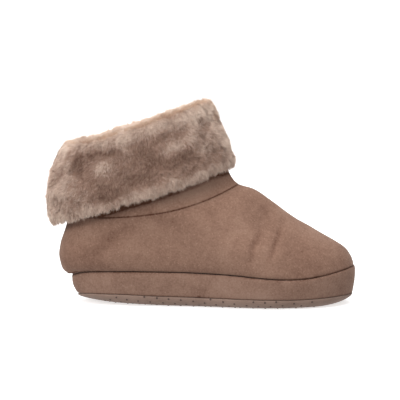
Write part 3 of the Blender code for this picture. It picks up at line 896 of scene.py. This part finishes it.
def platform_piece(material):
    angle = angles(ROUND_COUNT)
    nest = OUTSOLE_THICKNESS + GAP
    grid = [roll_points(angle, nest, degrees) for degrees in np.linspace(90, 10, 8)]
    seams = [0.0] * len(grid)
    grid.append(tucked_ring(SIDE_TAPER + nest, partial(wrap_height, 0.0), angle))
    seams.append(1.0)
    for share, turned_in, uneven in WRAP_ROWS:
        height = partial(wrap_height, share)
        swell = SIDE_SWELL * 4 * max(share, 0) * (1 - share)
        points = tucked_ring(SIDE_TAPER * (1 - share) - swell + turned_in, height, angle)
        outward = unit(ring(0.0, height, angle) - ring(0.01, height, angle))
        bumps = 0.00022 * waves(points, 0.024, 11) + 0.0001 * waves(points, 0.008, 12)
        grid.append(points + outward * (bumps * uneven)[:, None])
        # Painted seam shade, deeper where the row turns in further; the rows at both seams are
        # painted darkest.
        seams.append(min(1.0, turned_in / SEAM_TURN))
    for inset in WRAP_TOP_INSETS:
        grid.append(ring(inset, partial(wrap_height, WRAP_TOP_SHARE), angle))
        seams.append(1.0)
    grid = np.stack(grid, 1)
    # Painted shade: the wrap darker towards the toe end, where it turns away from the key light.
    toe_painted_shade = np.clip((grid[..., 0] - 0.108) / 0.02, 0, 1)
    shade = 0.35 * waves(grid, 0.05, 14) + 0.15 * waves(grid, 0.018, 15) - 0.35 * toe_painted_shade
    slab_piece("platform_wrap", grid, material, node="midsole", slot="wrap_suede",
               nap=shade, seam=seams)


# Footbed and lining


def insole_piece(material):
    """The padded footbed, kept clear of the upper's inner face at each angle."""
    angle = angles(240)
    run = surface(angle + TINY_TURN, 0.0) - surface(angle - TINY_TURN, 0.0)
    inward = unit(np.stack([-run[:, 1], run[:, 0], np.zeros(len(angle))], -1))
    foot = surface(angle, 0.0) + inward * UPPER_WALL
    foot[:, 2] = platform_top(foot[:, 0]) + GAP
    beside = [foot]
    for level in np.linspace(0.3, 3.0, 10):
        wall = inner_wall(angle, level)
        low = wall[:, 2] - foot[:, 2] <= INSOLE_THICKNESS + INSOLE_CROWN + INSOLE_CLEARANCE
        beside.append(np.where(low[:, None], wall, foot))
    beside = np.array(beside)
    from_middle = np.hypot(beside[..., 0] / 3, beside[..., 1] - middle(beside[..., 0]))
    narrow = beside[from_middle.argmin(0), np.arange(len(angle))]
    along = np.roll(narrow, -1, 0) - np.roll(narrow, 1, 0)
    across = unit(np.column_stack([-along[:, 1], along[:, 0]]))
    rings = []
    for inset, height in FOOTBED_ROWS:
        xy = narrow[:, :2] + across * (INSOLE_CLEARANCE + INSOLE_THICKNESS * inset)
        rings.append(np.column_stack([xy, platform_top(xy[:, 0]) + GAP + INSOLE_THICKNESS * height]))
    grid = np.stack(rings, 1)
    piece = slab_piece("footbed", grid, material, node="insole", slot="footbed_plush",
                       pile=0.45, shade=0.3 * waves(grid, 0.03, 21))


def lining_piece(material):
    """Short plush from the footbed's edge up to the cuff's own lining."""
    levels = spaced(LINING_SPANS)
    point, _, out = frame_at(angles(200)[:, None], levels)
    wall = np.where(levels < SEAM_LEVEL, UPPER_WALL, SHAFT_WALL) + LINING_GAP
    near = point - out * wall[..., None]
    thickness = np.clip((levels - levels[0, 0]) / 0.8, 0.25, 1) * LINING_PLUSH
    far = (point - out * (wall + thickness)[..., None])[:, ::-1]
    grid = np.concatenate([near, far], 1)
    tube_piece("foot_lining", grid, material, slot="footbed_plush",
               pile=0.35, shade=0.3 * waves(grid, 0.03, 22) - 0.3)
    return far


# Cuff


class CuffCut:
    """Places points by their depth below the shaft's top edge and their distance out of it."""

    def __init__(self, count):
        self.angle = angles(count)
        self.share = (1 - np.cos(self.angle)) / 2
        self.levels = np.linspace(TOP_LEVEL, SEAM_LEVEL - 4, 90)
        self.depths = steps(surface(self.angle[:, None], self.levels[None, :]))

    def round(self, index):
        return read_off(CUFF_ROUND, self.share, index)

    def depth_of(self, level):
        return np.array([np.interp(-level, -self.levels, row) for row in self.depths])

    def at(self, depth, distance):
        depth = np.broadcast_to(depth, self.angle.shape)
        level = np.array([
            np.interp(d, row, self.levels) for d, row in zip(np.maximum(depth, 0), self.depths)
        ])
        point, up, out = frame_at(self.angle, level)
        above = np.maximum(-depth, 0)[:, None]
        return point + up * above + out * np.broadcast_to(distance, depth.shape)[:, None]


def cut_depth(cut):
    """How far below the shaft's top the cuff's cloth hangs."""
    return CUFF_DEPTH * cut.round(4) - HEM_RISE * read_off(HEM_ROUND, cut.share)


def rounded(points, parts):
    """Catmull-Rom through points along the second axis, both ends kept."""
    before = 2 * points[:, :1] - points[:, 1:2]
    after = 2 * points[:, -1:] - points[:, -2:-1]
    padded = np.concatenate([before, points, after], 1)
    pieces = []
    for k in range(points.shape[1] - 1):
        a, b, c, d = (padded[:, k + m] for m in range(4))
        square, cube = 2 * a - 5 * b + 4 * c - d, 3 * b - a - 3 * c + d
        for t in np.arange(parts) / parts:
            pieces.append(0.5 * (2 * b + (c - a) * t + square * t**2 + cube * t**3))
    pieces.append(points[:, -1])
    return np.stack(pieces, 1)


def grid_normals(grid):
    """Normals of a grid closed along its first axis, away from the foot's middle line."""
    round_way = np.roll(grid, -1, 0) - np.roll(grid, 1, 0)
    return unit(np.cross(np.gradient(grid, axis=1), round_way))


def pile_shade(points, from_fold, to_hem):
    """How pale the pile is: pale along the fold, partly painted light on the top edge; pale at the
    hem; painted light at the heel's back and along the front edge; patchy between, with patches of
    painted sheen and shade.
    """
    x, z = points[..., 0], points[..., 2]
    ragged = 0.0022 * waves(points, 0.012, 31)
    # Pale along the fold, partly painted light on the top edge.
    shade = below(from_fold + ragged, PALE_RIM_DEPTH, 0.0026) + 0.75 * bell(from_fold, 0.008)
    shade += 0.8 * below(to_hem + ragged, PALE_HEM_HEIGHT, 0.001)
    # Painted light on the heel's back face and along the front edge.
    shade += 0.75 * below(x + 1.2 * ragged, PAINTED_LIGHT_HEEL_X, 0.002)
    shade += 0.75 * below(-x - PAINTED_LIGHT_FRONT_LEAN * z - 0.5 * ragged, -PAINTED_LIGHT_FRONT_X, 0.0014)
    shade += 0.16 * waves(points, 0.026, 32) + 0.1 * waves(points, 0.009, 33) - 0.09
    # Patches of painted sheen and shade where the pile faces towards or away from the light.
    for patch_x, patch_z, half_length, half_width, degrees, value in PILE_SHEEN_AND_SHADE_PATCHES:
        cos, sin = math.cos(math.radians(degrees)), math.sin(math.radians(degrees))
        dx, dz = x - patch_x + 0.8 * ragged, z - patch_z + 0.8 * ragged
        along, across = (dx * cos + dz * sin) / half_length, (dz * cos - dx * sin) / half_width
        shade += value * np.exp(-(along**2 + across**2))
    return np.maximum(shade, DARKEST_PILE)


def cuff_form(material):
    """What the pile grows from: a lumpy fold over the shaft's top edge. Returns its shown points
    and their layers: from the fold, to the hem, how pale the pile is, and the way it hangs."""
    cut = CuffCut(FORM_ROUND_COUNT)
    pile, flare = CUFF_PILE * cut.round(1), CUFF_FLARE * cut.round(2)
    lining, depth = LINING_PILE * cut.round(3), cut_depth(cut)
    slot_in = -SHAFT_WALL - GAP
    inside, outside = slot_in - lining + 0.0016, GAP + pile - PILE_INSET
    lining_foot = cut.depth_of(LINING_LEVEL)
    slot = [
        cut.at(depth * 0.93, GAP + flare * 0.8 + 0.0008),
        cut.at(cut.depth_of(11), GAP + flare * 0.32),
        cut.at(cut.depth_of(12), GAP),
        cut.at(-GAP, GAP),
        cut.at(-GAP, slot_in),
        cut.at(cut.depth_of(12), slot_in),
        cut.at(lining_foot, slot_in),
    ]
    shown = [cut.at(lining_foot, slot_in - lining * 0.5)]
    shown += [cut.at(lining_foot * share, inside) for share in (0.88, 0.4)]
    middle_line, half = (outside + inside) / 2, (outside - inside) / 2
    for turn in np.radians((180, 135, 90, 45)):
        height = (GAP + pile - FOLD_INSET) * math.sin(turn)
        shown.append(cut.at(-height, middle_line + half * math.cos(turn)))
    shown += [cut.at(depth * low, outside * out + flare * flared) for low, out, flared in CUFF_ROWS]
    shown = rounded(np.stack(shown, 1), FORM_PARTS)

    run = steps(shown)
    from_fold = np.abs(run - run[:, [FOLD_ROW]])
    to_hem = run[:, -1:] - run
    lumps = 0.0006 * waves(shown, 0.022, 41) + 0.0003 * waves(shown, 0.008, 42)
    lumps += 0.0006 * (np.minimum(pile_shade(shown, from_fold, to_hem), 1.0) - 0.3)
    lumps *= np.clip(np.minimum(run, to_hem) / 0.006, 0, 1)
    shown = shown + grid_normals(shown) * np.clip(lumps, -0.0022, 0.0012)[..., None]
    shade = pile_shade(shown, from_fold, to_hem)
    grid = np.concatenate([np.stack(slot, 1), shown], 1)
    slot_shade = np.full((len(shown), len(slot)), -0.6)
    tube_piece("cuff_form", grid, material, node="cuff", slot="cuff_plush",
               pile=0.12, shade=np.concatenate([slot_shade, shade], 1) * 0.8)
    hang = unit(shown[:, [-10]] - shown[:, [-22]])
    return shown, (from_fold, to_hem, shade, np.broadcast_to(hang, shown.shape))


# Pile


def scatter(grid, count, seed, layers=(), first=0, last=None):
    """Random roots on a grid, evenly by area, with the ways and the layers' values there."""
    rng = np.random.default_rng(seed)
    grid = grid[:, first:last]
    beside = np.roll(grid, -1, 0)[:, :-1] - grid[:, :-1]
    onward = grid[:, 1:] - grid[:, :-1]
    area = np.linalg.norm(np.cross(beside, onward), axis=-1)
    quads = rng.choice(area.size, int(count * HAIR_SHARE), p=area.ravel() / area.sum())
    i, j = np.divmod(quads, area.shape[1])
    u, v = rng.random((2, len(quads)))
    i2 = (i + 1) % len(grid)

    def mix(values):
        weights = ((1 - u) * (1 - v), u * (1 - v), (1 - u) * v, u * v)
        corners = (values[i, j], values[i2, j], values[i, j + 1], values[i2, j + 1])
        return sum((corner.T * weight).T for corner, weight in zip(corners, weights))

    down = unit(mix(np.gradient(grid, axis=1)))
    round_way = unit(mix(np.roll(grid, -1, 0) - np.roll(grid, 1, 0)))
    out = unit(np.cross(down, round_way))
    across = unit(np.cross(out, down))
    return mix(grid), out, down, across, [mix(layer[:, first:last]) for layer in layers], rng


def blades(name, root, first_way, last_way, across, length, width, shade, material, slot):
    """Hairs as bent, pointed blades: two base corners, two middle ones and a tip each."""
    first = np.arange(len(root))[:, None] * 5
    half = across * (width / 2)[:, None]
    waist = half * 0.8
    bend = root + first_way * (length * 0.5)[:, None]
    tip = bend + last_way * (length * 0.5)[:, None]
    corners = np.stack([root - half, root + half, bend - waist, bend + waist, tip], 1)
    stems, ends = (first + [0, 1, 3, 2]).tolist(), (first + [2, 3, 4]).tolist()
    faces = [face for hair in zip(stems, ends) for face in hair]
    pile = [0, 0, 0.5, 0.5, 1.0]
    new_piece(name, corners, faces, material, slot, pile=pile, shade=shade[:, None])


def comb(root, out, down, across, rng, lean, turn, spread, bend):
    """The ways of a hair's lower and upper half, from how far and which way it leans."""
    tuft_lean = 0.1 * waves(root, 0.0055, 51) + 0.07 * waves(root, 0.0026, 52)
    tuft_turn = 0.24 * waves(root, 0.006, 53) + 0.18 * waves(root, 0.0028, 54)
    lean = lean + tuft_lean + rng.normal(0, spread, len(root))
    turn = turn + tuft_turn + rng.normal(0, 1.6 * spread, len(root))
    flat = down * np.cos(turn)[:, None] + across * np.sin(turn)[:, None]

    def way(angle):
        angle = np.clip(angle, 0.05, 1.42)
        return out * np.cos(angle)[:, None] + flat * np.sin(angle)[:, None]

    side = unit(np.cross(flat, out) + 0.35 * rng.normal(size=root.shape))
    return way(lean - bend), way(lean + bend), side


def hair_width(rng, count, least, most):
    return PILE_WIDTH * rng.uniform(least, most, count) / math.sqrt(HAIR_SHARE)


def cuff_pile(shown, layers, material):
    """Pile over the lining, the fold and the outer face, straight down at the hem."""
    for name, first, last, hairs, seed, length_share in PILE_SPANS:
        root, out, down, across, (from_fold, to_hem, tone, hang), rng = scatter(
            shown, hairs, seed, layers, first, last)
        count = len(root)
        near_hem = bell(to_hem, 0.006)
        down = unit(down * (1 - near_hem)[:, None] + hang * near_hem[:, None])
        at_fold = bell(from_fold, 0.008)
        lean = 0.93 + 0.17 * waves(root, 0.024, 55) - 0.12 * np.clip(tone, -1, 1) - 0.15 * at_fold
        turn = 0.85 * waves(root, 0.03, 56) + 0.35 * waves(root, 0.013, 57)
        turn *= (1 - 0.7 * near_hem) * (1 - 0.6 * bell(from_fold, 0.022))
        low, high, side = comb(root, out, down, across, rng, lean, turn, 0.2, 0.22)
        length = PILE_LENGTH * (0.85 + 0.2 * waves(root, 0.011, 58) + rng.normal(0, 0.1, count))
        length = np.maximum(length, 0.35 * PILE_LENGTH) * length_share
        length *= 1 + (0.3 * waves(root, 0.0042, 72) - 0.2) * at_fold
        width = hair_width(rng, count, 0.7, 1.35)
        tone = tone + 0.18 * waves(root, 0.0024, 59) + rng.normal(0, 0.24, count)
        blades(name, root, low, high, side, length, width, tone, material, "cuff_plush")


def cuff_fringe(shown, layers, material):
    """A pale fringe of longer hairs in uneven tufts along the hem, longest at the heel."""
    root, out, _, across, (_, _, _, hang), rng = scatter(
        shown, FRINGE_HAIRS, 65, layers, shown.shape[1] - 9)
    count = len(root)
    sway = 0.42 * waves(root, 0.005, 67) + 0.2 * waves(root, 0.014, 68) + rng.normal(0, 0.12, count)
    aside = across * sway[:, None]
    apart = 0.34 + 0.16 * waves(root, 0.006, 66) + rng.normal(0, 0.1, count)
    low, high = unit(hang + aside + out * apart[:, None]), unit(hang + 1.3 * aside)
    side = unit(np.cross(hang, out) + 0.35 * rng.normal(size=root.shape))
    upright = root * np.array([1.0, 1.0, 0.2])
    tuft = 0.66 + 0.34 * waves(upright, 0.0038, 69) + 0.14 * waves(upright, 0.009, 71)
    tuft += rng.normal(0, 0.12, count) + 0.55 * below(root[:, 0], -0.138, 0.003)
    length = FRINGE_LENGTH * np.clip(tuft, 0.3, 1.3)
    width = hair_width(rng, count, 0.7, 1.2)
    tone = 0.65 + 0.45 * waves(upright, 0.0026, 70) + rng.normal(0, 0.32, count)
    blades("cuff_fringe", root, low, high, side, length, width, tone, material, "cuff_plush")


def lining_pile(lining, material):
    """Short pile on the lining's inner face."""
    root, out, down, across, _, rng = scatter(lining, LINING_HAIRS, 81)
    count = len(root)
    lean = 0.8 + 0.25 * waves(root, 0.02, 82)
    turn = 0.9 * waves(root, 0.025, 83)
    low, high, side = comb(root, out, down, across, rng, lean, turn, 0.25, 0.15)
    length = SHORT_PILE_LENGTH * rng.uniform(0.7, 1.2, count)
    width = 1.2 * hair_width(rng, count, 0.7, 1.3)
    tone = 0.25 * waves(root, 0.02, 84) + rng.normal(0, 0.22, count)
    blades("lining_pile", root, low, high, side, length, width, tone, material, "footbed_plush")


# Lights, floor and camera


def area_light(name, place, target_height, size, power):
    data = bpy.data.lights.new(name, "AREA")
    data.shape = "DISK"
    data.size = size
    data.energy = power
    light = placed(name, data)
    light.location = place
    way = Vector((0, 0, target_height)) - Vector(place)
    light.rotation_euler = way.to_track_quat("-Z", "Y").to_euler()


def glowing(name, base, glow, **values):
    """A matt grey material that glows white."""
    nodes = Nodes(name)
    return nodes.set(Base_Color=(base, base, base, 1), Emission_Color=(1.0, 1.0, 1.0, 1),
                     Emission_Strength=glow, **values)


def white_floor():
    mesh = bpy.data.meshes.new("floor")
    signs = ((-1, -1), (1, -1), (1, 1), (-1, 1))
    mesh.from_pydata([(x * FLOOR_REACH, y * FLOOR_REACH, 0) for x, y in signs], [], [(0, 1, 2, 3)])
    mesh.materials.append(glowing("white_floor", 0.8, 0.62, Roughness=0.9, Specular_IOR_Level=0.1))
    floor = placed("floor", mesh)
    floor.visible_diffuse = False


def white_backdrop():
    bm = bmesh.new()
    bmesh.ops.create_icosphere(bm, subdivisions=4, radius=BACKDROP_RADIUS)
    mesh = bpy.data.meshes.new("backdrop")
    bm.to_mesh(mesh)
    bm.free()
    mesh.materials.append(glowing("white_backdrop", 0.0, 1.05, Specular_IOR_Level=0.0))
    backdrop = placed("backdrop", mesh)
    backdrop.visible_diffuse = backdrop.visible_glossy = backdrop.visible_shadow = False


def studio():
    world = bpy.data.worlds.new("studio")
    bpy.context.scene.world = world
    world.use_nodes = True
    background = world.node_tree.nodes["Background"]
    background.inputs["Color"].default_value = (1.0, 1.0, 1.0, 1)
    background.inputs["Strength"].default_value = 0.6
    for row in LIGHTS:
        area_light(*row)
    white_floor()
    white_backdrop()


def camera():
    bpy.context.scene.view_settings.view_transform = "Standard"
    data = bpy.data.cameras.new("camera")
    data.sensor_width = SENSOR_WIDTH
    data.lens = CAMERA_LENS
    view = placed("camera", data)
    across, along, level = math.sin(CAMERA_YAW), math.cos(CAMERA_YAW), math.cos(CAMERA_PITCH)
    view.location = (CAMERA_OVER + CAMERA_DISTANCE * across, -CAMERA_DISTANCE * along, CAMERA_HEIGHT)
    way = Vector((-across * level, along * level, -math.sin(CAMERA_PITCH)))
    view.rotation_euler = way.to_track_quat("-Z", "Y").to_euler()
    bpy.context.scene.camera = view


def main():
    upper_suede, wrap_suede = suede("upper_suede"), suede("wrap_suede")
    long_plush, short_plush = plush("cuff_plush"), plush("lining_plush")
    upper_piece(upper_suede)
    shaft_piece(upper_suede)
    platform_piece(wrap_suede)
    outsole_piece(gripper_cloth())
    grip_dots(rubber())
    insole_piece(short_plush)
    lining = lining_piece(short_plush)
    shown, layers = cuff_form(long_plush)
    cuff_pile(shown, layers, long_plush)
    cuff_fringe(shown, layers, long_plush)
    lining_pile(lining, short_plush)
    studio()
    camera()


main()
